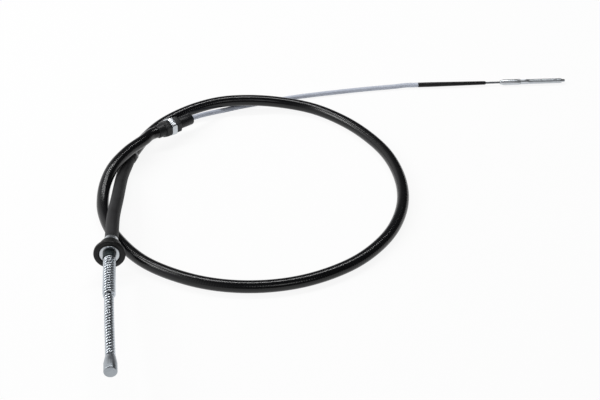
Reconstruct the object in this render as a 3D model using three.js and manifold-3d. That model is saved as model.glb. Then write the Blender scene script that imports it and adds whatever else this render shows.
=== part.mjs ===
// Parking brake cable, lying coiled in one loop on a table.
// The brake end has a nipple, a two-stage return spring, a steel ferrule in a rubber grommet
// and a rubber sleeve. The lever end has a threaded fitting with its nut, a plastic guide
// tube, a crimp sleeve and a threaded stud. Millimetres, +Z up, table at Z = 0.
import * as THREE from 'three';
import { mergeVertices } from 'three/addons/utils/BufferGeometryUtils.js';
import Module from 'manifold-3d';

const wasm = await Module();
wasm.setup();

// Clearance between pieces that touch
const fitGap = 0.3;

// Casing: a plastic jacket over a wound steel conduit, with a liner and the wire inside
const casingDiameter = 11.5;
const windingDiameter = 8.2;
const casingBore = 7.2;
const linerGap = 0.35;
const linerWall = 1.2;
const wireDiameter = 2.2;
const casingSteps = 72;
const jacketStartStep = 10;
const casingSides = 12;
const linerSides = 8;

// Brake end, measured along the ferrule's axis from the grommet's middle plane
const ferruleRimDiameter = 18.4;
const ferruleRimThickness = 1.3;
const ferruleRimFace = -1.0;
const ferruleLength = 22;
const ferruleWall = 2.1;
const conduitSocketDepth = 10;
const grommetFlangeDiameter = 28.4;
const grommetFlangeFront = -1.7;
const grommetFlangeThickness = 3.8;
const grommetGrooveWidth = 2.6;
const grommetGrooveDiameter = 17.6;
const grommetCollarDiameter = 19.9;
const grommetCollarLength = 9.2;
const rubberEdge = 1.1;
const seatDiameter = 11.2;
const seatReach = 7.5;
const seatSpigotDiameter = 9.8;
const seatSpigotLength = 6;
const seatBore = 4.8;
const sleeveDiameter = 12.3;
const sleeveBore = 9.4;
const sleeveSteps = 12;
const endRingDiameter = 13.1;
const endRingLength = 4.6;
const bandDiameter = 12.9;
const bandLength = 3.4;

// Return spring and nipple, measured from the same plane out to the nipple's end face
const cableTravel = 24;
const springWire = 1.7;
const springSeatDiameter = 11.2;
const springEndDiameter = 8.4;
const wideCoils = 12;
const narrowCoils = 22;
const wideCoilsLength = 55;
const changeCoils = 0.8;
const stepsPerCoil = 10;
const springSides = 6;
const nippleDiameter = 11;
const nippleNeckDiameter = 8.8;
const nippleConeLength = 8.2;
const nippleBarrelLength = 10.6;
const nippleChamfer = 0.7;
const nippleBoreDepth = 13;

// Lever-end fitting, measured along its axis from the middle of the steel nut
const threadDiameter = 11.8;
const nutAcrossCorners = 19.5;
const nutThickness = 6;
const nutChamfer = 1.0;
const bodyHexAcrossCorners = 18.5;
const bodyHexThickness = 6.1;
const bodyBarrelDiameter = 13.6;
const bodyBarrelLength = 8;
const collarAcrossCorners = 17.8;
const collarThickness = 6.2;
const collarChamfer = 1.4;
const socketDiameter = 11.9;
const socketLength = 17.2;
const socketRound = 1.6;
const socketSpigotLength = 4.8;

// Guide tube, seal sleeve and threaded end, measured from the end of the guide tube
const tubeDiameter = 5;
const tubeBore = 2.9;
const tubeSteps = 26;
const tubeSides = 8;
const tubeSpigotDiameter = 3.8;
const tubeSpigotLength = 12;
const sealDiameter = 5.1;
const sealTipDiameter = 3.9;
const sealLength = 74;
const bareWireLength = 16;
const crimpDiameter = 6.2;
const crimpConeLength = 4;
const crimpLength = 22;
const crimpWireDepth = 16;
const studHexAcrossCorners = 6.2;
const studHexLength = 8.8;
const studDiameter = 5;
const studLength = 37;
const studTailLength = 3.5;
const studTipDiameter = 3.2;
const studTipLength = 3.4;

// Places and directions of the three straight end assemblies
const ferruleOrigin = new THREE.Vector3(-216, -81.2, 23.4);
const ferruleAxis = new THREE.Vector3(-0.055, 0.994, -0.094).normalize();
const nippleEnd = new THREE.Vector3(-194.5, -244, 38.6);
const nutCentre = new THREE.Vector3(-180, 133, 15.4);
const fittingAxis = new THREE.Vector3(0.739, 0.67, -0.067).normalize();
const tubeEnd = new THREE.Vector3(81, 233.1, 3.3);
const leverAxis = new THREE.Vector3(0.99834, 0.05756, 0);

const alongFerrule = (distance) => ferruleOrigin.clone().addScaledVector(ferruleAxis, distance);
const alongFitting = (distance) => nutCentre.clone().addScaledVector(fittingAxis, distance);
const alongLever = (distance) => tubeEnd.clone().addScaledVector(leverAxis, distance);
const point = ([x, y, z]) => new THREE.Vector3(x, y, z);

// The casing's route: from the ferrule over its own last turn, once round the loop,
// under the front strand, back over it, and into the lever-end fitting
const casingStart = ferruleLength - conduitSocketDepth + fitGap;
const casingFree = [
  [-220, -22, 18.4],
  [-220.5, 14, 14.3],
  [-221, 56.5, 8.9],
  [-219.5, 74, 7.2],
  [-217, 91, 6.7],
  [-213, 104, 6.8],
  [-206.5, 123, 6.6],
  [-194.5, 146, 6.5],
  [-181, 160, 8],
  [-157.5, 174, 11.2],
  [-131, 184.5, 12.4],
  [-100.5, 188.5, 12],
  [-69, 189.5, 8.8],
  [-35, 181.5, 6.4],
  [-6, 161.5, 5.9],
  [18, 135, 5.8],
  [39.5, 98, 5.8],
  [50.5, 54, 5.8],
  [50, 15, 5.8],
  [39, -22.5, 5.8],
  [21.5, -51, 5.8],
  [-2, -74.5, 5.8],
  [-38.5, -95, 5.8],
  [-75, -104, 5.8],
  [-113, -103.5, 5.8],
  [-149, -93.5, 5.8],
  [-189, -69.5, 5.8],
  [-220, -30.5, 6],
  [-232.5, 0, 6.5],
  [-235.5, 18, 8.6],
  [-235, 37.5, 13],
  [-229.5, 57.5, 18.3],
  [-217.5, 83.5, 19.4],
  [-203.5, 105.5, 18.3],
];
const casingRoute = new THREE.CatmullRomCurve3([
  alongFerrule(casingStart),
  alongFerrule(20),
  alongFerrule(29),
  ...casingFree.map(point),
  alongFitting(-25),
  alongFitting(-16),
  alongFitting(-6),
  alongFitting(4),
]);

// The guide tube's route: out of the fitting, down to the table, under the casing
const tubeFree = [
  [-149.5, 161, 11.3],
  [-139, 171.5, 7.6],
  [-127, 181, 4.5],
  [-112.5, 189.5, 2.9],
  [-96.5, 195.5, 2.6],
  [-75.5, 202, 2.6],
  [-52, 209.5, 2.6],
  [-15, 218, 2.6],
  [28.5, 226.5, 2.6],
  [56, 230.5, 2.9],
];
const tubeRoute = new THREE.CatmullRomCurve3([
  alongFitting(2),
  alongFitting(18),
  alongFitting(24),
  alongFitting(30),
  ...tubeFree.map(point),
  alongLever(-14),
  alongLever(-6),
  alongLever(0),
]);

// A stretch of a route between two of its evenly spaced stations. Pieces that lie inside
// each other share the stations, so their walls stay parallel.
class Stretch extends THREE.Curve {
  constructor(route, stations, first, last) {
    super();
    this.route = route;
    this.from = first / stations;
    this.to = last / stations;
  }

  getPoint(t, target = new THREE.Vector3()) {
    return this.route.getPointAt(THREE.MathUtils.lerp(this.from, this.to, t), target);
  }

  getPointAt(t, target) {
    return this.getPoint(t, target);
  }

  getSpacedPoints(steps) {
    return Array.from({ length: steps + 1 }, (_, i) => this.getPoint(i / steps));
  }

  getTangentAt(t, target = new THREE.Vector3()) {
    return this.route.getTangentAt(THREE.MathUtils.lerp(this.from, this.to, t), target);
  }
}

for (const route of [casingRoute, tubeRoute]) route.arcLengthDivisions = 1200;

function polygonShape(radius, sides) {
  const corners = Array.from({ length: sides }, (_, i) => {
    const angle = (2 * Math.PI * i) / sides;
    return new THREE.Vector2(radius * Math.cos(angle), radius * Math.sin(angle));
  });
  return new THREE.Shape(corners);
}

// A solid rod along a curve
function rodAlong(curve, diameter, sides, steps) {
  const shape = polygonShape(diameter / 2, sides);
  return new THREE.ExtrudeGeometry(shape, { extrudePath: curve, steps, bevelEnabled: false });
}

// A hollow tube along a curve
function tubeAlong(curve, outerDiameter, bore, sides, steps) {
  const shape = polygonShape(outerDiameter / 2, sides);
  shape.holes.push(new THREE.Path(polygonShape(bore / 2, sides).getPoints().reverse()));
  return new THREE.ExtrudeGeometry(shape, { extrudePath: curve, steps, bevelEnabled: false });
}

// A turned piece about local +Y. The profile lists [radius, height] and closes on itself.
function turned(profile, segments = 28) {
  const outline = profile.map(([radius, height]) => new THREE.Vector2(radius, height));
  if (profile[0][0] > 0) outline.push(outline[0].clone());
  return new THREE.LatheGeometry(outline, segments);
}

// A six-sided prism about local +Y
function hexPrism(acrossCorners, from, to) {
  const prism = new THREE.CylinderGeometry(acrossCorners / 2, acrossCorners / 2, to - from, 6);
  return prism.translate(0, (from + to) / 2, 0);
}

function rod(diameter, from, to, segments = 28) {
  const cylinder = new THREE.CylinderGeometry(diameter / 2, diameter / 2, to - from, segments);
  return cylinder.translate(0, (from + to) / 2, 0);
}

function solidOf(geometry) {
  const bare = new THREE.BufferGeometry();
  const loose = geometry.index ? geometry.toNonIndexed() : geometry;
  bare.setAttribute('position', loose.getAttribute('position'));
  const merged = mergeVertices(bare, 1e-4);
  const vertProperties = new Float32Array(merged.getAttribute('position').array);
  const triVerts = new Uint32Array(merged.index.array);
  return new wasm.Manifold(new wasm.Mesh({ numProp: 3, vertProperties, triVerts }));
}

function geometryOf(solid) {
  const { vertProperties, triVerts, numProp } = solid.getMesh();
  const positions = new Float32Array(triVerts.length * 3);
  triVerts.forEach((vertex, i) => {
    for (let axis = 0; axis < 3; axis += 1) {
      positions[3 * i + axis] = vertProperties[numProp * vertex + axis];
    }
  });
  const geometry = new THREE.BufferGeometry();
  geometry.setAttribute('position', new THREE.BufferAttribute(positions, 3));
  geometry.computeVertexNormals();
  return geometry;
}

const finish = (color, roughness, metalness) => ({ color, roughness, metalness });
const finishes = {
  zinc: finish(0xb9c0c6, 0.32, 0.95),
  castNipple: finish(0x8e9294, 0.55, 0.8),
  springSteel: finish(0xc2c9ce, 0.28, 0.95),
  wireSteel: finish(0x9da2a6, 0.4, 0.9),
  jacket: finish(0x101113, 0.38, 0),
  winding: finish(0x55595c, 0.5, 0.8),
  rubber: finish(0x141414, 0.72, 0),
  sleeveRubber: finish(0x2b2b2d, 0.8, 0),
  blackPlastic: finish(0x17181a, 0.5, 0),
  greyBand: finish(0xa9abad, 0.55, 0),
  liner: finish(0xe4e4df, 0.45, 0),
  guideTube: finish(0xb4bcd8, 0.35, 0),
};

function piece(name, geometry, finishName) {
  const material = new THREE.MeshStandardMaterial(finishes[finishName]);
  const mesh = new THREE.Mesh(geometry, material);
  mesh.name = name;
  return mesh;
}

// A group whose local +Y lies along an axis
function groupOn(origin, axis, ...meshes) {
  const group = new THREE.Group();
  group.position.copy(origin);
  group.quaternion.setFromUnitVectors(new THREE.Vector3(0, 1, 0), axis);
  group.add(...meshes);
  return group;
}

const linerDiameter = casingBore - 2 * linerGap;
const linerBore = linerDiameter - 2 * linerWall;
const ferruleDiameter = windingDiameter + 2 * fitGap + 2 * ferruleWall;

// The casing: the bare winding under the sleeve, the full jacket beyond it, one bore
function outerCasing() {
  const winding = new Stretch(casingRoute, casingSteps, 0, casingSteps);
  const jacketEndStep = casingSteps - 1;
  const jacket = new Stretch(casingRoute, casingSteps, jacketStartStep, jacketEndStep);
  const jacketSteps = jacketEndStep - jacketStartStep;
  const core = solidOf(rodAlong(winding, windingDiameter, casingSides, casingSteps));
  const cover = solidOf(rodAlong(jacket, casingDiameter, casingSides, jacketSteps));
  const bore = solidOf(rodAlong(winding, casingBore, casingSides, casingSteps));
  return piece('outer_casing', geometryOf(core.add(cover).subtract(bore)), 'jacket');
}

function casingLiner() {
  const stretch = new Stretch(casingRoute, casingSteps, 1, casingSteps);
  const tube = tubeAlong(stretch, linerDiameter, linerBore, linerSides, casingSteps - 1);
  return piece('casing_liner', tube, 'liner');
}

// The wire inside the casing, the fitting and the guide tube
function cableWire() {
  const inCasing = new Stretch(casingRoute, casingSteps, 1, casingSteps);
  const inTube = new Stretch(tubeRoute, tubeSteps, 0, tubeSteps);
  const first = solidOf(rodAlong(inCasing, wireDiameter, linerSides, casingSteps - 1));
  const second = solidOf(rodAlong(inTube, wireDiameter, linerSides, tubeSteps));
  return piece('cable_wire', geometryOf(first.add(second)), 'wireSteel');
}

function guideTube() {
  const stretch = new Stretch(tubeRoute, tubeSteps, 1, tubeSteps);
  const body = solidOf(rodAlong(stretch, tubeDiameter, tubeSides, tubeSteps - 1));
  const bore = solidOf(rodAlong(stretch, tubeBore, tubeSides, tubeSteps - 1));
  const toLever = new THREE.Matrix4().compose(
    tubeEnd,
    new THREE.Quaternion().setFromUnitVectors(new THREE.Vector3(0, 1, 0), leverAxis),
    new THREE.Vector3(1, 1, 1),
  );
  const spigot = rod(tubeSpigotDiameter, -3, tubeSpigotLength, 12).applyMatrix4(toLever);
  const spigotBore = rod(tubeBore, -3, tubeSpigotLength + 1, 12).applyMatrix4(toLever);
  const whole = body.add(solidOf(spigot)).subtract(bore).subtract(solidOf(spigotBore));
  return piece('guide_tube', geometryOf(whole), 'guideTube');
}

// Brake end: ferrule, grommet and spring seat share the ferrule's axis
function springFerrule() {
  const rim = ferruleRimDiameter / 2;
  const outer = ferruleDiameter / 2;
  const seatSocket = seatSpigotDiameter / 2 + fitGap;
  const seatFloor = ferruleRimFace + seatSpigotLength + fitGap;
  const socket = windingDiameter / 2 + fitGap;
  const socketFloor = ferruleLength - conduitSocketDepth;
  const lip = 0.5;
  return piece('spring_ferrule', turned([
    [casingBore / 2, seatFloor],
    [seatSocket, seatFloor],
    [seatSocket, ferruleRimFace],
    [rim - lip, ferruleRimFace],
    [rim, ferruleRimFace + lip],
    [rim, ferruleRimFace + ferruleRimThickness],
    [outer, ferruleRimFace + ferruleRimThickness],
    [outer, ferruleLength - lip],
    [outer - lip, ferruleLength],
    [socket, ferruleLength],
    [socket, socketFloor],
    [casingBore / 2, socketFloor],
  ]), 'zinc');
}

function grommet() {
  const flange = grommetFlangeDiameter / 2;
  const groove = grommetGrooveDiameter / 2;
  const collar = grommetCollarDiameter / 2;
  const bore = ferruleDiameter / 2 + fitGap;
  const pocket = ferruleRimDiameter / 2 + fitGap;
  const pocketFloor = ferruleRimFace + ferruleRimThickness + fitGap;
  const front = grommetFlangeFront;
  const back = front + grommetFlangeThickness;
  const grooveEnd = back + grommetGrooveWidth;
  const end = grooveEnd + grommetCollarLength;
  const e = rubberEdge;
  return piece('grommet', turned([
    [bore, pocketFloor],
    [pocket, pocketFloor],
    [pocket, front + 0.4 * e],
    [pocket + 0.4 * e, front],
    [flange - e, front],
    [flange - 0.3 * e, front + 0.3 * e],
    [flange, front + e],
    [flange, back - e],
    [flange - 0.3 * e, back - 0.3 * e],
    [flange - e, back],
    [groove, back],
    [groove, grooveEnd],
    [collar - 0.5 * e, grooveEnd],
    [collar, grooveEnd + 0.5 * e],
    [collar, end - 2 * e],
    [collar - 0.6 * e, end - 0.6 * e],
    [collar - 2 * e, end],
    [bore, end],
  ], 36), 'rubber');
}

function springSeat() {
  const face = ferruleRimFace - fitGap;
  const radius = seatDiameter / 2;
  const chamfer = 0.6;
  return piece('spring_seat', turned([
    [seatBore / 2, ferruleRimFace - seatReach],
    [radius - chamfer, ferruleRimFace - seatReach],
    [radius, ferruleRimFace - seatReach + chamfer],
    [radius, face],
    [seatSpigotDiameter / 2, face],
    [seatSpigotDiameter / 2, ferruleRimFace + seatSpigotLength],
    [seatBore / 2, ferruleRimFace + seatSpigotLength],
  ]), 'blackPlastic');
}

// The rubber sleeve over the bare winding, from the ferrule to the jacket
function frontSleeve() {
  const length = casingRoute.getLength();
  const startStation = (ferruleLength + fitGap - casingStart) * (casingSteps / length);
  const endStation = jacketStartStep - fitGap * (casingSteps / length);
  const stretch = new Stretch(casingRoute, casingSteps, startStation, endStation);
  const tube = tubeAlong(stretch, sleeveDiameter, sleeveBore, casingSides, sleeveSteps);
  return piece('front_sleeve', tube, 'sleeveRubber');
}

// The end ring and the grey band clamp the jacket's front end. They lie on the straight
// line between two stations, as the jacket does there.
function jacketRings() {
  const from = casingRoute.getPointAt(jacketStartStep / casingSteps);
  const to = casingRoute.getPointAt((jacketStartStep + 1) / casingSteps);
  const bore = casingDiameter / 2 + fitGap;
  const ring = (diameter, start, length) => turned([
    [bore, start],
    [diameter / 2 - 0.4, start],
    [diameter / 2, start + 0.4],
    [diameter / 2, start + length - 0.4],
    [diameter / 2 - 0.4, start + length],
    [bore, start + length],
  ]);
  const ringStart = fitGap;
  const bandStart = ringStart + endRingLength + fitGap;
  return groupOn(
    from,
    to.sub(from).normalize(),
    piece('sleeve_end_ring', ring(endRingDiameter, ringStart, endRingLength), 'blackPlastic'),
    piece('grey_band', ring(bandDiameter, bandStart, bandLength), 'greyBand'),
  );
}

// Nipple, front wire and spring share the straight line from the grommet to the nipple
const nippleReach = ferruleOrigin.distanceTo(nippleEnd);
const nippleAxis = nippleEnd.clone().sub(ferruleOrigin).normalize();
const nippleNeck = nippleReach - nippleBarrelLength - nippleConeLength;
const springStart = seatReach - ferruleRimFace + fitGap;

function endNipple() {
  const barrel = nippleReach - nippleBarrelLength;
  const radius = nippleDiameter / 2;
  const bore = wireDiameter / 2 + fitGap;
  return piece('end_nipple', turned([
    [0, nippleNeck + nippleBoreDepth],
    [bore, nippleNeck + nippleBoreDepth],
    [bore, nippleNeck],
    [nippleNeckDiameter / 2 - 0.5, nippleNeck],
    [nippleNeckDiameter / 2, nippleNeck + 0.5],
    [nippleNeckDiameter / 2 + 0.2, nippleNeck + 2],
    [radius, barrel],
    [radius, nippleReach - nippleChamfer],
    [radius - nippleChamfer, nippleReach],
    [0, nippleReach],
  ]), 'castNipple');
}

function brakeWire() {
  const wireRear = 2;
  const wireFront = nippleNeck + nippleBoreDepth - fitGap;
  return piece('brake_wire', rod(wireDiameter, wireRear, wireFront, 12), 'wireSteel');
}

// A two-stage coil: wide coils at the seat, then a short change to the narrow coils
class ReturnCoil extends THREE.Curve {
  constructor() {
    super();
    this.turns = wideCoils + narrowCoils;
    this.start = springStart + springWire / 2;
    this.length = nippleNeck - fitGap - springWire / 2 - this.start;
  }

  heightAt(turn) {
    const closed = 1;
    const closedPitch = springWire + 0.35;
    const narrowEnd = this.turns - closed;
    const widePitch = (wideCoilsLength - closed * closedPitch) / (wideCoils - closed);
    const narrowLength = this.length - wideCoilsLength - closed * closedPitch;
    const narrowPitch = narrowLength / (narrowEnd - wideCoils);
    if (turn < closed) return turn * closedPitch;
    if (turn < wideCoils) return closed * closedPitch + (turn - closed) * widePitch;
    if (turn < narrowEnd) return wideCoilsLength + (turn - wideCoils) * narrowPitch;
    return wideCoilsLength + narrowLength + (turn - narrowEnd) * closedPitch;
  }

  getPoint(t, target = new THREE.Vector3()) {
    const turn = t * this.turns;
    const change = THREE.MathUtils.smoothstep(turn, wideCoils - changeCoils, wideCoils);
    const diameter = THREE.MathUtils.lerp(springSeatDiameter, springEndDiameter, change);
    const radius = (diameter - springWire) / 2;
    const angle = 2 * Math.PI * turn;
    const height = this.start + this.heightAt(turn);
    return target.set(radius * Math.cos(angle), height, radius * Math.sin(angle));
  }

  getPointAt(t, target) {
    return this.getPoint(t, target);
  }

  getTangentAt(t, target) {
    return this.getTangent(t, target);
  }

  getSpacedPoints(steps) {
    return this.getPoints(steps);
  }
}

function returnSpring() {
  const coil = new ReturnCoil();
  const steps = coil.turns * stepsPerCoil;
  return piece('return_spring', rodAlong(coil, springWire, springSides, steps), 'springSteel');
}

// Lever-end fitting: a plastic body moulded on the casing, the steel nut on its thread,
// a lock collar and the socket that holds the guide tube
const hexStart = -nutThickness / 2 - fitGap - bodyHexThickness;
const collarStart = nutThickness / 2 + fitGap;
const collarEnd = collarStart + collarThickness;
const threadBore = threadDiameter + 2 * fitGap;

function chamferedHex(acrossCorners, from, to, chamfer) {
  const radius = acrossCorners / 2;
  const blank = turned([
    [0, from],
    [radius - chamfer, from],
    [radius, from + chamfer * 0.6],
    [radius, to - chamfer * 0.6],
    [radius - chamfer, to],
    [0, to],
  ], 36);
  return solidOf(hexPrism(acrossCorners, from, to)).intersect(solidOf(blank));
}

function fittingBody() {
  const rear = hexStart - bodyBarrelLength;
  const barrel = bodyBarrelDiameter / 2;
  const jacketEnd = -casingRoute.getLength() / casingSteps + 4 + fitGap;
  const cover = solidOf(turned([
    [0, rear],
    [barrel - 0.8, rear],
    [barrel, rear + 0.8],
    [barrel, hexStart + 1],
    [threadDiameter / 2, hexStart + 1],
    [threadDiameter / 2, collarEnd - 0.8],
    [threadDiameter / 2 - 0.8, collarEnd],
    [0, collarEnd],
  ]));
  const hex = chamferedHex(bodyHexAcrossCorners, hexStart, -nutThickness / 2 - fitGap, nutChamfer);
  const jacketSocket = solidOf(rod(casingDiameter + 2 * fitGap, rear - 1, jacketEnd));
  const windingSocket = solidOf(rod(windingDiameter + 2 * fitGap, rear - 1, collarEnd + 1));
  const whole = cover.add(hex).subtract(jacketSocket).subtract(windingSocket);
  return piece('fitting_body', geometryOf(whole), 'blackPlastic');
}

function nutOnThread(name, acrossCorners, from, to, chamfer, finishName) {
  const hex = chamferedHex(acrossCorners, from, to, chamfer);
  const bore = solidOf(rod(threadBore, from - 1, to + 1));
  return piece(name, geometryOf(hex.subtract(bore)), finishName);
}

function tubeSocket() {
  const face = collarEnd + fitGap;
  const end = face + socketLength;
  const radius = socketDiameter / 2;
  const spigotStart = face - socketSpigotLength;
  const tubeFloor = 2 + tubeRoute.getLength() / tubeSteps - fitGap;
  return piece('tube_socket', turned([
    [linerBore / 2, spigotStart],
    [windingDiameter / 2, spigotStart],
    [windingDiameter / 2, face],
    [radius, face],
    [radius, end - socketRound],
    [radius - 0.3 * socketRound, end - 0.3 * socketRound],
    [radius - socketRound, end],
    [tubeDiameter / 2 + fitGap, end],
    [tubeDiameter / 2 + fitGap, tubeFloor],
    [linerBore / 2, tubeFloor],
  ]), 'blackPlastic');
}

// Lever end: seal sleeve on the guide tube, then the moving wire, crimp and threaded stud
const wireBore = wireDiameter + 2 * fitGap;
const crimpStart = sealLength + bareWireLength;
const crimpEnd = crimpStart + crimpLength;

function tubeSeal() {
  const socket = tubeSpigotDiameter / 2 + fitGap;
  const socketFloor = tubeSpigotLength + fitGap;
  return piece('tube_seal', turned([
    [socket, fitGap],
    [sealDiameter / 2, fitGap],
    [sealDiameter / 2, socketFloor + 2],
    [sealTipDiameter / 2, sealLength - 1],
    [sealTipDiameter / 2 - 0.3, sealLength],
    [tubeBore / 2, sealLength],
    [tubeBore / 2, socketFloor],
    [socket, socketFloor],
  ], 16), 'rubber');
}

function leverWire() {
  const wireFront = crimpStart + crimpWireDepth - fitGap;
  return piece('lever_wire', rod(wireDiameter, 0.6, wireFront, 12), 'wireSteel');
}

function crimpSleeve() {
  const radius = crimpDiameter / 2;
  const tailBore = studDiameter / 2 - 0.6 + fitGap;
  const tailFloor = crimpEnd - studTailLength;
  return piece('crimp_sleeve', turned([
    [0, crimpStart + crimpWireDepth],
    [wireBore / 2, crimpStart + crimpWireDepth],
    [wireBore / 2, crimpStart],
    [wireBore / 2 + 0.5, crimpStart],
    [radius, crimpStart + crimpConeLength],
    [radius, crimpEnd - 0.4],
    [radius - 0.4, crimpEnd],
    [tailBore, crimpEnd],
    [tailBore, tailFloor],
    [0, tailFloor],
  ], 20), 'zinc');
}

function threadedStud() {
  const tail = studDiameter / 2 - 0.6;
  const hexFrom = crimpEnd + fitGap;
  const hexTo = hexFrom + studHexLength;
  const rodEnd = hexTo + studLength;
  const tip = studTipDiameter / 2;
  const shank = solidOf(turned([
    [0, crimpEnd - studTailLength + fitGap],
    [tail, crimpEnd - studTailLength + fitGap],
    [tail, hexTo - 1],
    [studDiameter / 2, hexTo - 1],
    [studDiameter / 2, rodEnd - 0.6],
    [studDiameter / 2 - 0.6, rodEnd],
    [tip, rodEnd],
    [tip, rodEnd + studTipLength - 0.6],
    [tip - 0.6, rodEnd + studTipLength],
    [0, rodEnd + studTipLength],
  ], 20));
  const hex = chamferedHex(studHexAcrossCorners, hexFrom, hexTo, 0.4);
  return piece('threaded_stud', geometryOf(shank.add(hex)), 'zinc');
}

const cable = new THREE.Group();
cable.add(
  outerCasing(),
  casingLiner(),
  cableWire(),
  guideTube(),
  frontSleeve(),
  jacketRings(),
  groupOn(ferruleOrigin, ferruleAxis, springFerrule(), grommet(), springSeat()),
  groupOn(ferruleOrigin, nippleAxis, endNipple(), brakeWire(), returnSpring()),
  groupOn(
    nutCentre,
    fittingAxis,
    fittingBody(),
    nutOnThread('hex_nut', nutAcrossCorners, -nutThickness / 2, nutThickness / 2, nutChamfer, 'zinc'),
    nutOnThread('lock_collar', collarAcrossCorners, collarStart, collarEnd, collarChamfer,
      'blackPlastic'),
    tubeSocket(),
  ),
  groupOn(tubeEnd, leverAxis, tubeSeal(), leverWire(), crimpSleeve(), threadedStud()),
);

export default cable;
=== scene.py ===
"""A parking brake cable, coiled in one loop on a pale floor.

Sizes of the cable are in millimetres in this file and become metres where a mesh is made.
The camera, the floor and the lamps are placed in metres.
"""
import math

import bmesh
import bpy
from mathutils import Matrix, Vector


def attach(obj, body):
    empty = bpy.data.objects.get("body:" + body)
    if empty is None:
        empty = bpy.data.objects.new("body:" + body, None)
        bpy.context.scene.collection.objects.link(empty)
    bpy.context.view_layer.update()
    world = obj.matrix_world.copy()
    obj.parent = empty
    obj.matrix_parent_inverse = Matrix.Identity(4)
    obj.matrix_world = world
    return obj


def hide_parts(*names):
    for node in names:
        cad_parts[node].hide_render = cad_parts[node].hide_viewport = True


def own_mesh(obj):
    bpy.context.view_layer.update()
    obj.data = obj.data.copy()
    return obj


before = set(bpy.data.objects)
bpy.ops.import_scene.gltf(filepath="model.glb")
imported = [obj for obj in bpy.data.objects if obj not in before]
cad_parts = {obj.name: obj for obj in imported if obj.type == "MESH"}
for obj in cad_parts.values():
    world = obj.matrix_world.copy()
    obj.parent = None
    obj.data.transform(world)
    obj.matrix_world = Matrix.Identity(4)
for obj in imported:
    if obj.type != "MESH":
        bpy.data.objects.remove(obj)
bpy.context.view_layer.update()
MM = 0.001

# Places and directions of the straight end assemblies, as in the CAD model
FERRULE_ORIGIN = Vector((-216, -81.2, 23.4))
FERRULE_AXIS = Vector((-0.055, 0.994, -0.094)).normalized()
NIPPLE_END = Vector((-194.5, -244, 38.6))
NUT_CENTRE = Vector((-180, 133, 15.4))
FITTING_AXIS = Vector((0.739, 0.67, -0.067)).normalized()
TUBE_END = Vector((81, 233.1, 3.3))
LEVER_AXIS = Vector((0.99834, 0.05756, 0)).normalized()
NIPPLE_AXIS = (NIPPLE_END - FERRULE_ORIGIN).normalized()
NIPPLE_REACH = (NIPPLE_END - FERRULE_ORIGIN).length

# Clearance between pieces that touch
FIT_GAP = 0.3

# Casing. Its jacket starts at one of the stations that part its route evenly.
CASING_DIAMETER = 11.5
WINDING_DIAMETER = 8.2
CASING_BORE = 7.2
BORE_DEPTH = 14
CASING_STATIONS = 72
JACKET_FIRST = 10
CASING_SIDES = 28
WINDING_STEP = 3
JACKET_STEP = 1.6
JACKET_EDGE = 0.02

# Ferrule, spring seat and rubber sleeve, measured from the grommet's middle plane
FERRULE_RIM_FACE = -1
FERRULE_LENGTH = 22
CONDUIT_SOCKET_DEPTH = 10
CASING_START = FERRULE_LENGTH - CONDUIT_SOCKET_DEPTH + FIT_GAP
SEAT_REACH = 7.5
SLEEVE_RADIUS = 6.25
SLEEVE_TAPER = 0.25

# Nipple and brake wire, measured from the same plane out to the nipple's end face
NIPPLE_BARREL_LENGTH = 10.6
NIPPLE_CONE_LENGTH = 8.2
NIPPLE_NECK = NIPPLE_REACH - NIPPLE_BARREL_LENGTH - NIPPLE_CONE_LENGTH
NIPPLE_BORE_DEPTH = 13
FRONT_WIRE_START = 2

# Return spring. Its wire is thicker than in the CAD solid, and it has three more wide coils.
SPRING_WIRE = 2.1
SPRING_BOW = 0.7
SPRING_SEAT_DIAMETER = 11.2
SPRING_END_DIAMETER = 8.4
SPRING_START = SEAT_REACH - FERRULE_RIM_FACE + FIT_GAP
WIDE_COILS = 15
NARROW_COILS = 22
WIDE_LENGTH = 55
CHANGE_COILS = 0.8
CLOSED_GAP = 0.2
STEPS_PER_TURN = 28
SPRING_SIDES = 12

# Guide tube. It starts one station along its route, and its exit is measured from the nut.
TUBE_DIAMETER = 5
TUBE_STATIONS = 26
TUBE_STEP = 1.5
TUBE_SIDES = 24
TUBE_EXIT = 26.7

# Lever end, measured from the end of the guide tube
SEAL_LENGTH = 74
BARE_WIRE_LENGTH = 16
REAR_WIRE_START = 0.6
CRIMP_LENGTH = 22
CRIMP_WIRE_DEPTH = 16
STUD_HEX_LENGTH = 8.8
STUD_DIAMETER = 5
STUD_LENGTH = 37

# Rolled thread on the stud. Its round crest is sunk by a share of its own radius.
THREAD_PITCH = 0.9
THREAD_CREST = 0.32
THREAD_SINK = 0.3
THREAD_STEPS = 18
THREAD_SIDES = 12
THREAD_INSET = 1

# Stranded wire
WIRE_DIAMETER = 2.2
STRANDS = 6
STRAND_LAY = 16
STRAND_STEPS = 16
STRAND_SIDES = 8
CORE_SWELL = 1.02

# Edges of the pieces, with angles in degrees
MERGE_DISTANCE = 0.001
RING_TOLERANCE = 0.002
FLAT_ANGLE = 1
BEVEL_ANGLE = 32
BEVEL_SEGMENTS = 2
COPY_SMOOTH_ANGLE = 30
ROD_SMOOTH_ANGLE = 50

# Finishes: the jacket's ribs, and the painted shade that darkens the creases of the metal pieces
RIB_PITCH = 2.3
RIB_STARTS = 3
CREASE_SHADE_REACH = 2.5
# Near-black colour painted as shade into the creases of the metal pieces, and how far out it
# reaches
PAINTED_CREASE_SHADE = (0.012, 0.013, 0.015, 1)

# Camera and floor, in metres, with the tilt in degrees and the lens in millimetres
CAMERA_PLACE = (-0.0476, -0.9559, 0.7423)
CAMERA_TILT = 53
CAMERA_LENS = 76.8
CAMERA_SENSOR = 36
FLOOR_SIZE = 14
FLOOR_DROP = 0.0004
FLOOR_GLOW_SHARE = 0.9

# Straight ends of the two routes, as distances along the axes that they follow
CASING_FIRST = (CASING_START, 20, 29)
CASING_LAST = (-25, -16, -6, 4)
TUBE_FIRST = (2, 18, 24, 30)
TUBE_LAST = (-14, -6, 0)

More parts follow.
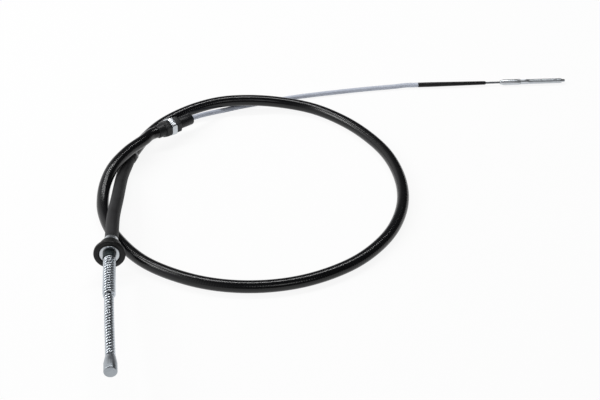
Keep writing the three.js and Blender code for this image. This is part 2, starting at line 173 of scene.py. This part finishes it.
# Free points of the casing's route, from the ferrule round the loop to the fitting
CASING_FREE = [
    (-220, -22, 18.4),
    (-220.5, 14, 14.3),
    (-221, 56.5, 8.9),
    (-219.5, 74, 7.2),
    (-217, 91, 6.7),
    (-213, 104, 6.8),
    (-206.5, 123, 6.6),
    (-194.5, 146, 6.5),
    (-181, 160, 8),
    (-157.5, 174, 11.2),
    (-131, 184.5, 12.4),
    (-100.5, 188.5, 12),
    (-69, 189.5, 8.8),
    (-35, 181.5, 6.4),
    (-6, 161.5, 5.9),
    (18, 135, 5.8),
    (39.5, 98, 5.8),
    (50.5, 54, 5.8),
    (50, 15, 5.8),
    (39, -22.5, 5.8),
    (21.5, -51, 5.8),
    (-2, -74.5, 5.8),
    (-38.5, -95, 5.8),
    (-75, -104, 5.8),
    (-113, -103.5, 5.8),
    (-149, -93.5, 5.8),
    (-189, -69.5, 5.8),
    (-220, -30.5, 6),
    (-232.5, 0, 6.5),
    (-235.5, 18, 8.6),
    (-235, 37.5, 13),
    (-229.5, 57.5, 18.3),
    (-217.5, 83.5, 19.4),
    (-203.5, 105.5, 18.3),
]

# Free points of the guide tube's route, from the fitting down to the floor
TUBE_FREE = [
    (-149.5, 161, 11.3),
    (-139, 171.5, 7.6),
    (-127, 181, 4.5),
    (-112.5, 189.5, 2.9),
    (-96.5, 195.5, 2.6),
    (-75.5, 202, 2.6),
    (-52, 209.5, 2.6),
    (-15, 218, 2.6),
    (28.5, 226.5, 2.6),
    (56, 230.5, 2.9),
]


def on_axis(origin, axis, distance):
    return origin + axis * distance


CASING_POINTS = (
    [on_axis(FERRULE_ORIGIN, FERRULE_AXIS, d) for d in CASING_FIRST]
    + [Vector(p) for p in CASING_FREE]
    + [on_axis(NUT_CENTRE, FITTING_AXIS, d) for d in CASING_LAST]
)
TUBE_POINTS = (
    [on_axis(NUT_CENTRE, FITTING_AXIS, d) for d in TUBE_FIRST]
    + [Vector(p) for p in TUBE_FREE]
    + [on_axis(TUBE_END, LEVER_AXIS, d) for d in TUBE_LAST]
)


class Route:
    """A smooth centripetal curve through points, walked by its length."""

    SAMPLES = 40
    SHORTEST_KNOT = 1e-4

    def __init__(self, points):
        first = points[0] * 2 - points[1]
        last = points[-1] * 2 - points[-2]
        guides = [first, *points, last]
        self.points = []
        for i in range(1, len(guides) - 2):
            self.points += self._segment(guides[i - 1 : i + 3])
        self.points.append(points[-1].copy())
        self.stations = [0.0]
        for a, b in zip(self.points, self.points[1:]):
            self.stations.append(self.stations[-1] + (b - a).length)
        self.length = self.stations[-1]

    def _segment(self, guides):
        """Points from the second of four guides towards the third."""
        knots = [0.0]
        for a, b in zip(guides, guides[1:]):
            knots.append(knots[-1] + max((b - a).length ** 0.5, self.SHORTEST_KNOT))
        out = []
        for i in range(self.SAMPLES):
            t = knots[1] + (knots[2] - knots[1]) * i / self.SAMPLES
            level = list(guides)
            for order in (1, 2, 3):
                level = [
                    level[j].lerp(level[j + 1], self._share(t, knots, j, order))
                    for j in range(len(level) - 1)
                ]
            out.append(level[0])
        return out

    @staticmethod
    def _share(t, knots, j, order):
        """How far t has come between the two knots that a blend of this order spans."""
        low = knots[j if order < 3 else 1]
        high = knots[j + order if order < 3 else 2]
        return (t - low) / (high - low)

    def at(self, distance):
        """The point at a distance along the curve."""
        low, high = 0, len(self.stations) - 1
        while high - low > 1:
            middle = (low + high) // 2
            if self.stations[middle] <= distance:
                low = middle
            else:
                high = middle
        span = self.stations[high] - self.stations[low]
        return self.points[low].lerp(self.points[high], (distance - self.stations[low]) / span)

    def between(self, start, end, step):
        """Evenly spaced points from start to end, about a step apart."""
        count = max(2, round((end - start) / step))
        return [self.at(start + (end - start) * i / count) for i in range(count + 1)]


casing_route = Route(CASING_POINTS)
tube_route = Route(TUBE_POINTS)


def deselect():
    bpy.ops.object.select_all(action="DESELECT")


def activate(piece):
    deselect()
    piece.select_set(True)
    bpy.context.view_layer.objects.active = piece


def smooth(piece, angle):
    activate(piece)
    bpy.ops.object.shade_smooth_by_angle(angle=math.radians(angle))


def finish_piece(piece, body, material, nodes):
    """Gives a piece its material and body, and hides the CAD nodes it stands for."""
    piece.data.materials.clear()
    piece.data.materials.append(material)
    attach(piece, body)
    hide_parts(*nodes)
    return piece


def tangents_of(path):
    """The direction of a path at each of its points."""
    tangents = []
    for i in range(len(path)):
        ahead = path[min(i + 1, len(path) - 1)]
        behind = path[max(i - 1, 0)]
        tangents.append((ahead - behind).normalized())
    return tangents


def swept_rings(bm, path, radius_at, sides):
    """A ring of points round each point of a path, and how far along it each ring lies."""
    tangents = tangents_of(path)
    side = tangents[0].orthogonal().normalized()
    distance = 0.0
    rings = []
    along = []
    for i, centre in enumerate(path):
        if i:
            distance += (centre - path[i - 1]).length
            side = tangents[i - 1].rotation_difference(tangents[i]) @ side
        side = (side - tangents[i] * side.dot(tangents[i])).normalized()
        up = tangents[i].cross(side)
        radius = radius_at(distance)
        ring = []
        for j in range(sides):
            angle = 2 * math.pi * j / sides
            outwards = side * math.cos(angle) + up * math.sin(angle)
            ring.append(bm.verts.new((centre + outwards * radius) * MM))
        rings.append(ring)
        along.append(distance)
    return rings, along


def bore_rings(bm, rings, path, along, radius, depth):
    """Rings of a blind hole in the first end of a swept tube, from its mouth inwards."""
    inner = []
    for ring, centre, distance in zip(rings, path, along):
        if distance > depth:
            break
        middle = centre * MM
        inner.append(
            [bm.verts.new(middle + (v.co - middle).normalized() * radius * MM) for v in ring]
        )
    return inner


def sweep(name, path, radius, sides, bore=None):
    """A closed round rod along a path, with a blind hole (radius, depth) where bore is given.

    Its radius is a number, or a function of the distance along it. Its UV map runs in
    millimetres along it and once around it.
    """
    radius_at = radius if callable(radius) else lambda _: radius
    mesh = bpy.data.meshes.new(name)
    piece = bpy.data.objects.new(name, mesh)
    bpy.context.scene.collection.objects.link(piece)
    bm = bmesh.new()
    uv = bm.loops.layers.uv.new("along")
    rings, along = swept_rings(bm, path, radius_at, sides)
    for i in range(len(path) - 1):
        for j in range(sides):
            k = (j + 1) % sides
            face = bm.faces.new((rings[i][j], rings[i][k], rings[i + 1][k], rings[i + 1][j]))
            corners = ((along[i], j), (along[i], j + 1), (along[i + 1], j + 1), (along[i + 1], j))
            for loop, (u, v) in zip(face.loops, corners):
                loop[uv].uv = (u, v / sides)
    mouth = [rings[0]]
    if bore:
        mouth += bore_rings(bm, rings, path, along, *bore)
    for outer, inner in zip(mouth, mouth[1:]):
        for j in range(sides):
            k = (j + 1) % sides
            bm.faces.new((outer[k], outer[j], inner[j], inner[k]))
    bm.faces.new(list(reversed(mouth[-1])))
    bm.faces.new(rings[-1])
    bm.to_mesh(mesh)
    bm.free()
    smooth(piece, ROD_SMOOTH_ANGLE)
    return piece


def placed(piece, origin, axis):
    """Bakes the place of a piece that was made about +Z into its mesh."""
    turn = Vector((0, 0, 1)).rotation_difference(axis).to_matrix().to_4x4()
    piece.data.transform(Matrix.Translation(origin * MM) @ turn)
    return piece


def make_rounder(piece, origin, axis, segments):
    """Doubles the segments of a turned piece, with the new points out on its true circles."""
    tolerance = RING_TOLERANCE * MM
    bm = bmesh.new()
    bm.from_mesh(piece.data)

    def place_of(vert):
        offset = vert.co - origin * MM
        height = offset.dot(axis)
        return height, offset - axis * height

    rings = []
    for edge in bm.edges:
        (low, first), (high, second) = (place_of(v) for v in edge.verts)
        same_height = abs(low - high) < tolerance
        same_radius = abs(first.length - second.length) < tolerance
        if same_height and same_radius and first.length > tolerance:
            rings.append(edge)
    result = bmesh.ops.subdivide_edges(bm, edges=rings, cuts=1, use_grid_fill=True)
    spread = 1 / math.cos(math.pi / segments) - 1
    for item in result["geom_inner"]:
        if isinstance(item, bmesh.types.BMVert):
            item.co += place_of(item)[1] * spread
    bm.to_mesh(piece.data)
    bm.free()


def copy_of(node, name, bevel, turned_on, segments):
    """A merged, bevelled copy of a CAD node with smooth shading on its round faces.

    A turned piece is made rounder first. The copy drops the marks that tie a CAD node to
    its body.
    """
    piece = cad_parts[node].copy()
    piece.data = piece.data.copy()
    piece.name = name
    piece.data.name = name
    for key in list(piece.keys()):
        del piece[key]
    piece.parent = None
    bpy.context.scene.collection.objects.link(piece)
    piece.hide_render = False
    piece.hide_viewport = False
    activate(piece)
    bpy.ops.object.mode_set(mode="EDIT")
    bpy.ops.mesh.select_all(action="SELECT")
    bpy.ops.mesh.remove_doubles(threshold=MERGE_DISTANCE * MM)
    bpy.ops.mesh.tris_convert_to_quads(face_threshold=math.radians(FLAT_ANGLE))
    bpy.ops.object.mode_set(mode="OBJECT")
    if turned_on:
        make_rounder(piece, *turned_on, segments)
    bpy.ops.object.modifier_add(type="BEVEL")
    modifier = piece.modifiers[-1]
    modifier.width = bevel * MM
    modifier.segments = BEVEL_SEGMENTS
    modifier.limit_method = "ANGLE"
    modifier.angle_limit = math.radians(BEVEL_ANGLE)
    bpy.ops.object.modifier_apply(modifier=modifier.name)
    smooth(piece, COPY_SMOOTH_ANGLE)
    return piece


# Materials
class Value:
    """A shader socket. Arithmetic on it adds Math nodes."""

    def __init__(self, graph, socket):
        self.graph = graph
        self.socket = socket

    def _math(self, operation, first, second):
        return self.graph.node("ShaderNodeMath", {"operation": operation}, {0: first, 1: second})

    def __add__(self, other):
        return self._math("ADD", self, other)

    def __mul__(self, other):
        return self._math("MULTIPLY", self, other)

    __radd__ = __add__
    __rmul__ = __mul__

    def sibling(self, name):
        """Another output of the same node."""
        return Value(self.graph, self.socket.node.outputs[name])


class Graph:
    """One node material, ending in a Principled shader."""

    def __init__(self, name):
        self.material = bpy.data.materials.new(name)
        self.material.use_nodes = True
        self.tree = self.material.node_tree
        self.tree.nodes.clear()

    @classmethod
    def on(cls, tree):
        """A graph on a node tree that is there already, such as the world's."""
        graph = cls.__new__(cls)
        graph.tree = tree
        tree.nodes.clear()
        return graph

    def node(self, kind, settings=None, inputs=None, output=0):
        """Adds a node, with its settings first and then the values or links of its sockets."""
        made = self.tree.nodes.new(kind)
        for key, value in (settings or {}).items():
            if key == "stops":
                self._set_stops(made.color_ramp, value)
            else:
                setattr(made, key, value)
        for key, value in (inputs or {}).items():
            if isinstance(value, Value):
                self.tree.links.new(value.socket, made.inputs[key])
            else:
                made.inputs[key].default_value = value
        return Value(self, made.outputs[output]) if made.outputs else None

    @staticmethod
    def _set_stops(ramp, stops):
        while len(ramp.elements) > 1:
            ramp.elements.remove(ramp.elements[-1])
        for i, (position, color) in enumerate(stops):
            stop = ramp.elements[0] if i == 0 else ramp.elements.new(position)
            stop.position = position
            stop.color = color if hasattr(color, "__len__") else grey(color)

    def place(self):
        return self.node("ShaderNodeTexCoord", output="Object")

    def uv(self):
        return self.node("ShaderNodeUVMap", {"uv_map": "along"})

    def noise(self, scale, detail, roughness=0.5):
        """Noise from 0 to 1 over the piece. Scale is in cells per metre."""
        inputs = {
            "Vector": self.place(),
            "Scale": scale,
            "Detail": detail,
            "Roughness": roughness,
        }
        return self.node("ShaderNodeTexNoise", inputs=inputs)

    def ramp(self, factor, stops):
        return self.node("ShaderNodeValToRGB", {"stops": stops}, {"Fac": factor})

    def blend(self, factor, first, second):
        inputs = {"Factor": factor, 6: first, 7: second}
        return self.node("ShaderNodeMix", {"data_type": "RGBA"}, inputs, output=2)

    def bump(self, height, distance, strength):
        """A normal from a height of 0 to 1. Distance is in millimetres."""
        inputs = {"Height": height, "Distance": distance * MM, "Strength": strength}
        return self.node("ShaderNodeBump", inputs=inputs)

    def shader(self, **sockets):
        inputs = {key.replace("_", " "): value for key, value in sockets.items()}
        surface = self.node("ShaderNodeBsdfPrincipled", inputs=inputs)
        self.node("ShaderNodeOutputMaterial", inputs={"Surface": surface})
        return self.material


def grey(level):
    return (level, level, level, 1)


def jacket_material():
    """Satin black plastic over a wound conduit: fine diagonal ribs show in the highlight."""
    g = Graph("jacket_plastic")
    along = g.node("ShaderNodeSeparateXYZ", inputs={"Vector": g.uv()})
    around = along.sibling("Y")
    phase = along * (2 * math.pi / RIB_PITCH) + around * (2 * math.pi * RIB_STARTS)
    ribs = g.node("ShaderNodeMath", {"operation": "SINE"}, {0: phase}) * 0.5 + 0.5
    patches = g.noise(45, 4)
    scuffs = g.noise(900, 3)
    base = g.blend(patches, (0.003, 0.003, 0.0035, 1), (0.006, 0.0063, 0.0075, 1))
    rough = patches * 0.08 + scuffs * 0.05 + 0.13
    height = ribs * 0.8 + scuffs * 0.2
    return g.shader(
        Base_Color=base, Roughness=rough, Normal=g.bump(height, 0.10, 0.7), IOR=1.42
    )


def rubber_material(name, dark, light, rough, grain, depth):
    """Moulded rubber with a faint bloom and fine grain."""
    g = Graph(name)
    bloom = g.noise(70, 5, 0.6)
    fine = g.noise(grain, 3, 0.6)
    base = g.blend(g.ramp(bloom, [(0.35, 0), (0.7, 1)]), (*dark, 1), (*light, 1))
    return g.shader(
        Base_Color=base,
        Roughness=bloom * 0.16 + rough,
        Normal=g.bump(fine * 0.7 + bloom * 0.3, depth, 0.6),
        IOR=1.34,
    )


def plastic_material(name, dark, light, rough, grain, depth):
    """Moulded plastic with a fine etched grain and slight colour variation."""
    g = Graph(name)
    mottle = g.noise(60, 4)
    fine = g.noise(grain, 2)
    base = g.blend(mottle, (*dark, 1), (*light, 1))
    return g.shader(
        Base_Color=base,
        Roughness=mottle * 0.12 + rough,
        Normal=g.bump(fine, depth, 0.5),
        IOR=1.4,
    )


def metal_material(name, dark, light, rough, grain, depth, spread=0.2, creases=(0.0, 0.45)):
    """Plated steel: cloudy plating, small dull spots, a fine drawn grain, and painted shade in its
    creases.

    Grain is in cells per metre and depth in millimetres. Spread is how far the roughness
    varies, and creases are the two levels of openness between which the painted shade fades out.
    """
    g = Graph(name)
    cloud = g.noise(160, 5, 0.6)
    fine = g.noise(grain, 3, 0.6)
    spots = g.ramp(g.noise(700, 2), [(0.62, 0), (0.74, 1)])
    mixed = g.blend(cloud, (*dark, 1), (*light, 1))
    spotted = g.blend(spots * 0.35, mixed, (dark[0] * 0.6, dark[1] * 0.6, dark[2] * 0.6, 1))
    # Painted shade: the base colour goes to near black where ambient occlusion finds the surface
    # closed in, in creases and between coils
    openness = g.node(
        "ShaderNodeAmbientOcclusion", {"samples": 8}, {"Distance": CREASE_SHADE_REACH * MM}, output=1
    )
    base = g.blend(g.ramp(openness, [(creases[0], 0), (creases[1], 1)]), PAINTED_CREASE_SHADE, spotted)
    return g.shader(
        Base_Color=base,
        Metallic=1.0,
        Roughness=cloud * spread + spots * 0.12 + rough,
        Normal=g.bump(fine, depth, 0.5),
    )


jacket = jacket_material()
sleeve_rubber = rubber_material(
    "sleeve_rubber",
    dark=(0.014, 0.014, 0.015),
    light=(0.028, 0.028, 0.030),
    rough=0.5,
    grain=1500,
    depth=0.08,
)
grommet_rubber = rubber_material(
    "grommet_rubber",
    dark=(0.005, 0.005, 0.0055),
    light=(0.011, 0.011, 0.0115),
    rough=0.34,
    grain=1300,
    depth=0.05,
)
black_plastic = plastic_material(
    "black_plastic",
    dark=(0.006, 0.0065, 0.0075),
    light=(0.013, 0.0135, 0.015),
    rough=0.36,
    grain=1700,
    depth=0.04,
)
seat_plastic = plastic_material(
    "seat_plastic",
    dark=(0.010, 0.018, 0.020),
    light=(0.020, 0.032, 0.036),
    rough=0.42,
    grain=1500,
    depth=0.04,
)
grey_plastic = plastic_material(
    "grey_plastic",
    dark=(0.42, 0.43, 0.44),
    light=(0.52, 0.53, 0.54),
    rough=0.5,
    grain=1200,
    depth=0.05,
)
liner_plastic = plastic_material(
    "liner_plastic",
    dark=(0.72, 0.72, 0.68),
    light=(0.8, 0.8, 0.77),
    rough=0.4,
    grain=900,
    depth=0.03,
)
tube_plastic = plastic_material(
    "tube_plastic",
    dark=(0.50, 0.54, 0.64),
    light=(0.57, 0.61, 0.70),
    rough=0.3,
    grain=700,
    depth=0.03,
)
zinc = metal_material(
    "zinc_steel",
    dark=(0.46, 0.49, 0.52),
    light=(0.66, 0.69, 0.72),
    rough=0.24,
    grain=1800,
    depth=0.02,
    spread=0.14,
)
cast_zinc = metal_material(
    "cast_nipple",
    dark=(0.26, 0.29, 0.32),
    light=(0.50, 0.53, 0.56),
    rough=0.26,
    grain=1200,
    depth=0.07,
)
# The spring's painted crease shade reaches further out than on the other metal, to darken the gaps
# between its coils
spring_steel = metal_material(
    "spring_steel",
    dark=(0.50, 0.54, 0.58),
    light=(0.66, 0.70, 0.74),
    rough=0.24,
    grain=900,
    depth=0.004,
    spread=0.08,
    creases=(0.35, 0.8),
)
wire_steel = metal_material(
    "wire_steel",
    dark=(0.10, 0.11, 0.12),
    light=(0.22, 0.23, 0.25),
    rough=0.34,
    grain=2400,
    depth=0.01,
)

# Camera, floor and light
bpy.ops.object.camera_add(
    location=CAMERA_PLACE, rotation=(math.radians(CAMERA_TILT), 0, 0)
)
camera = bpy.context.object
camera.name = "camera"
camera.data.lens = CAMERA_LENS
camera.data.sensor_width = CAMERA_SENSOR
bpy.context.scene.camera = camera

# The floor glows for the camera and in reflections, and is lit as paint for all other
# light, so that it is nearly white and keeps the cable's soft shadow
deselect()
bpy.ops.mesh.primitive_plane_add(size=FLOOR_SIZE, location=(0, 0, -FLOOR_DROP))
floor = bpy.context.object
floor.name = "floor"
floor_graph = Graph("floor_paint")
floor_tone = floor_graph.noise(2.5, 2)
floor_paint = floor_graph.node(
    "ShaderNodeBsdfDiffuse",
    inputs={"Color": floor_graph.blend(floor_tone, grey(0.90), grey(0.93))},
)
floor_glow = floor_graph.node("ShaderNodeEmission", inputs={"Color": grey(1), "Strength": 1.0})
seen = floor_graph.node("ShaderNodeLightPath")
seen_in_metal = seen.sibling("Is Glossy Ray")
floor_surface = floor_graph.node(
    "ShaderNodeMixShader",
    inputs={0: (seen + seen_in_metal) * FLOOR_GLOW_SHARE, 1: floor_paint, 2: floor_glow},
)
floor_graph.node("ShaderNodeOutputMaterial", inputs={"Surface": floor_surface})
floor.data.materials.append(floor_graph.material)


def soft_lamp(name, location, target, size, power):
    deselect()
    direction = Vector(target) - Vector(location)
    turn = direction.to_track_quat("-Z", "Y").to_euler()
    bpy.ops.object.light_add(type="AREA", location=location, rotation=turn)
    lamp = bpy.context.object
    lamp.name = name
    lamp.data.shape = "RECTANGLE"
    lamp.data.size = size[0]
    lamp.data.size_y = size[1]
    lamp.data.energy = power


soft_lamp(
    "top_light",
    location=(-0.2, 0.75, 1.7),
    target=(-0.05, 0.0, 0),
    size=(1.9, 0.16),
    power=20,
)
soft_lamp(
    "left_light",
    location=(-1.7, -0.1, 1.3),
    target=(-0.15, 0.0, 0),
    size=(0.5, 0.9),
    power=16,
)
soft_lamp(
    "front_light",
    location=(0.5, -1.6, 1.5),
    target=(-0.05, 0.05, 0),
    size=(0.9, 0.4),
    power=4,
)

# The room is bright on the left, which gives the steel its light edges, and dark elsewhere,
# which keeps the black pieces black. The camera itself sees it white.
world = bpy.data.worlds.new("white_room")
bpy.context.scene.world = world
world.use_nodes = True
sky = Graph.on(world.node_tree)
direction = sky.node("ShaderNodeSeparateXYZ", inputs={"Vector": sky.node("ShaderNodeTexCoord")})
sideways = direction * 0.5 + 0.5
upwards = direction.sibling("Z")
walls = sky.ramp(upwards, [(0.0, 0.8), (0.15, 1.0), (0.7, 0.8), (1.0, 0.3)])
shade = sky.ramp(
    sideways,
    [(0.0, grey(1)), (0.18, grey(0.85)), (0.36, grey(0.14)), (0.6, grey(0.04)), (1.0, grey(0.06))],
)
tinted = sky.node(
    "ShaderNodeMix",
    {"data_type": "RGBA", "blend_type": "MULTIPLY"},
    {"Factor": 1.0, 6: walls, 7: shade},
    output=2,
)
shown = sky.blend(sky.node("ShaderNodeLightPath"), tinted, grey(1))
backdrop = sky.node("ShaderNodeBackground", inputs={"Color": shown, "Strength": 1.0})
sky.node("ShaderNodeOutputWorld", inputs={"Surface": backdrop})
bpy.context.scene.view_settings.view_transform = "Standard"

# Casing and guide tube
step_length = casing_route.length / CASING_STATIONS
jacket_start = JACKET_FIRST * step_length
jacket_end = casing_route.length - step_length


def casing_radius(distance):
    in_jacket = jacket_start <= distance <= jacket_end
    return (CASING_DIAMETER if in_jacket else WINDING_DIAMETER) / 2


casing_path = (
    casing_route.between(0, jacket_start - JACKET_EDGE, WINDING_STEP)
    + casing_route.between(jacket_start + JACKET_EDGE, jacket_end - JACKET_EDGE, JACKET_STEP)
    + casing_route.between(jacket_end + JACKET_EDGE, casing_route.length, WINDING_STEP)
)
casing = sweep(
    "casing_jacket", casing_path, casing_radius, CASING_SIDES, bore=(CASING_BORE / 2, BORE_DEPTH)
)
finish_piece(casing, "casing", jacket, ["outer_casing"])

tube_start = tube_route.length / TUBE_STATIONS
tube_path = tube_route.between(tube_start, tube_route.length, TUBE_STEP)
guide = sweep("guide_tube_run", tube_path, TUBE_DIAMETER / 2, TUBE_SIDES)
finish_piece(guide, "casing", tube_plastic, ["guide_tube"])

# Front sleeve, tapered a little from the ferrule to its end ring
sleeve_start = FERRULE_LENGTH + FIT_GAP - CASING_START
sleeve_end = jacket_start - FIT_GAP
sleeve_path = casing_route.between(sleeve_start, sleeve_end, JACKET_STEP)


def sleeve_radius(distance):
    share = distance / (sleeve_end - sleeve_start)
    return SLEEVE_RADIUS - SLEEVE_TAPER * share


sleeve = sweep("sleeve_rubber_tube", sleeve_path, sleeve_radius, CASING_SIDES)
finish_piece(sleeve, "casing", sleeve_rubber, ["front_sleeve"])

# Return spring: one coil from the wide to the narrow diameter, closed at both ends
spring_turns = WIDE_COILS + NARROW_COILS
closed_pitch = SPRING_WIRE + CLOSED_GAP
narrow_end = spring_turns - 1
spring_base = SPRING_START + SPRING_WIRE / 2
spring_length = NIPPLE_NECK - FIT_GAP - SPRING_WIRE / 2 - spring_base
wide_pitch = (WIDE_LENGTH - closed_pitch) / (WIDE_COILS - 1)
narrow_length = spring_length - WIDE_LENGTH - closed_pitch
narrow_pitch = narrow_length / (narrow_end - WIDE_COILS)
world_left = NIPPLE_AXIS.rotation_difference(Vector((0, 0, 1))) @ Vector((-1, 0, 0))
bow_side = Vector((world_left.x, world_left.y, 0)).normalized()


def coil_height(turn):
    """How far the coil has risen after some turns. Its first and last turns are closed."""
    if turn < 1:
        return turn * closed_pitch
    if turn < WIDE_COILS:
        return closed_pitch + (turn - 1) * wide_pitch
    if turn < narrow_end:
        return WIDE_LENGTH + (turn - WIDE_COILS) * narrow_pitch
    return WIDE_LENGTH + narrow_length + (turn - narrow_end) * closed_pitch


def coil_radius(turn):
    """The centreline's radius, with a short smooth change after the wide coils."""
    share = min(max((turn - WIDE_COILS + CHANGE_COILS) / CHANGE_COILS, 0), 1)
    share = share * share * (3 - 2 * share)
    diameter = SPRING_SEAT_DIAMETER + (SPRING_END_DIAMETER - SPRING_SEAT_DIAMETER) * share
    return (diameter - SPRING_WIRE) / 2


def coil_point(turn):
    """A point of the centreline in the spring's own frame, with z along the spring."""
    height = coil_height(turn)
    radius = coil_radius(turn)
    angle = 2 * math.pi * turn
    bow = bow_side * (SPRING_BOW * math.sin(math.pi * height / spring_length))
    return Vector((radius * math.cos(angle), radius * math.sin(angle), spring_base + height)) + bow


spring_path = [coil_point(i / STEPS_PER_TURN) for i in range(spring_turns * STEPS_PER_TURN + 1)]
spring = sweep("spring_coil", spring_path, SPRING_WIRE / 2, SPRING_SIDES)
placed(spring, FERRULE_ORIGIN, NIPPLE_AXIS)
finish_piece(spring, "casing", spring_steel, ["return_spring"])
on_axis(FERRULE_ORIGIN, NIPPLE_AXIS, SPRING_START) * MM
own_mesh(spring)


# Stranded wires at both ends
def stranded(name, origin, axis, start, end):
    """Strands twisted round a straight core, so that three lie side by side across it."""
    strand_radius = WIRE_DIAMETER / 6
    lay_radius = 2 * strand_radius
    count = round((end - start) / STRAND_LAY * STRAND_STEPS)
    strands = []
    for k in range(STRANDS):
        path = []
        for i in range(count + 1):
            z = start + (end - start) * i / count
            angle = 2 * math.pi * ((z - start) / STRAND_LAY + k / STRANDS)
            path.append(Vector((lay_radius * math.cos(angle), lay_radius * math.sin(angle), z)))
        strands.append(sweep(f"{name}_{k}", path, strand_radius, STRAND_SIDES))
    core = [Vector((0, 0, start)), Vector((0, 0, (start + end) / 2)), Vector((0, 0, end))]
    whole = sweep(name, core, strand_radius * CORE_SWELL, STRAND_SIDES)
    activate(whole)
    for piece in strands:
        piece.select_set(True)
    bpy.ops.object.join()
    return placed(whole, origin, axis)


front_wire_end = NIPPLE_NECK + NIPPLE_BORE_DEPTH - FIT_GAP
rear_wire_end = SEAL_LENGTH + BARE_WIRE_LENGTH + CRIMP_WIRE_DEPTH - FIT_GAP
front_wire = stranded(
    "front_wire", FERRULE_ORIGIN, NIPPLE_AXIS, FRONT_WIRE_START, front_wire_end
)
finish_piece(front_wire, "brake_end", wire_steel, ["brake_wire"])
rear_wire = stranded("rear_wire", TUBE_END, LEVER_AXIS, REAR_WIRE_START, rear_wire_end)
finish_piece(rear_wire, "lever_end", wire_steel, ["lever_wire"])

# Rigid pieces that follow their CAD solids
ON_FERRULE = (FERRULE_ORIGIN, FERRULE_AXIS)
ON_NIPPLE = (FERRULE_ORIGIN, NIPPLE_AXIS)
ON_FITTING = (NUT_CENTRE, FITTING_AXIS)
ON_LEVER = (TUBE_END, LEVER_AXIS)

# CAD node, name, bevel, body, material, record slot, axis if turned, segments of the solid
DRESSED = [
    ("spring_ferrule", "ferrule", 0.15, "casing", zinc, "zinc_steel", ON_FERRULE, 28),
    ("grommet", "grommet_ring", 0.5, "casing", grommet_rubber, "grommet_rubber", ON_FERRULE, 36),
    ("spring_seat", "seat_cup", 0.2, "casing", seat_plastic, "black_plastic", ON_FERRULE, 28),
    ("sleeve_end_ring", "end_ring", 0.2, "casing", black_plastic, "black_plastic", None, 0),
    ("grey_band", "light_band", 0.2, "casing", grey_plastic, "grey_plastic", None, 0),
    ("fitting_body", "fitting_plastic", 0.25, "casing", black_plastic, "black_plastic", None, 0),
    ("hex_nut", "steel_nut", 0.2, "casing", zinc, "zinc_steel", None, 0),
    ("lock_collar", "collar_plastic", 0.3, "casing", black_plastic, "black_plastic", None, 0),
    (
        "tube_socket", "socket_plastic", 0.4,
        "casing", black_plastic, "black_plastic", ON_FITTING, 28,
    ),
    ("tube_seal", "seal_sleeve", 0.2, "casing", grommet_rubber, "grommet_rubber", ON_LEVER, 16),
    ("end_nipple", "nipple_casting", 0.25, "brake_end", cast_zinc, "cast_nipple", ON_NIPPLE, 28),
    ("crimp_sleeve", "crimp_tube", 0.15, "lever_end", zinc, "zinc_steel", ON_LEVER, 20),
    ("threaded_stud", "stud", 0.12, "lever_end", zinc, "zinc_steel", None, 0),
]
made = {}
for node, name, bevel, body, material, slot, turned_on, segments in DRESSED:
    copied = copy_of(node, name, bevel, turned_on, segments)
    made[name] = finish_piece(copied, body, material, [node])


def stud_thread():
    """The crest of a rolled thread on the stud, from its hex to its plain tip."""
    hex_end = SEAL_LENGTH + BARE_WIRE_LENGTH + CRIMP_LENGTH + FIT_GAP + STUD_HEX_LENGTH
    turns = int((STUD_LENGTH - 2 * THREAD_INSET) / THREAD_PITCH)
    radius = STUD_DIAMETER / 2 - THREAD_CREST * THREAD_SINK
    path = []
    for i in range(turns * THREAD_STEPS + 1):
        angle = 2 * math.pi * i / THREAD_STEPS
        height = hex_end + THREAD_INSET + THREAD_PITCH * i / THREAD_STEPS
        path.append(Vector((radius * math.cos(angle), radius * math.sin(angle), height)))
    thread = sweep("stud_thread", path, THREAD_CREST, THREAD_SIDES)
    return placed(thread, TUBE_END, LEVER_AXIS)


thread = stud_thread()
thread.data.materials.append(zinc)
activate(made["stud"])
thread.select_set(True)
bpy.ops.object.join()

for node, material in (("casing_liner", liner_plastic), ("cable_wire", wire_steel)):
    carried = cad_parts[node]
    carried.data.materials.clear()
    carried.data.materials.append(material)

# Points of the two free cords in metres, worked out and not used further
casing_route.at(0) * MM
[p * MM for p in casing_path]
on_axis(NUT_CENTRE, FITTING_AXIS, TUBE_EXIT) * MM
[p * MM for p in tube_path]
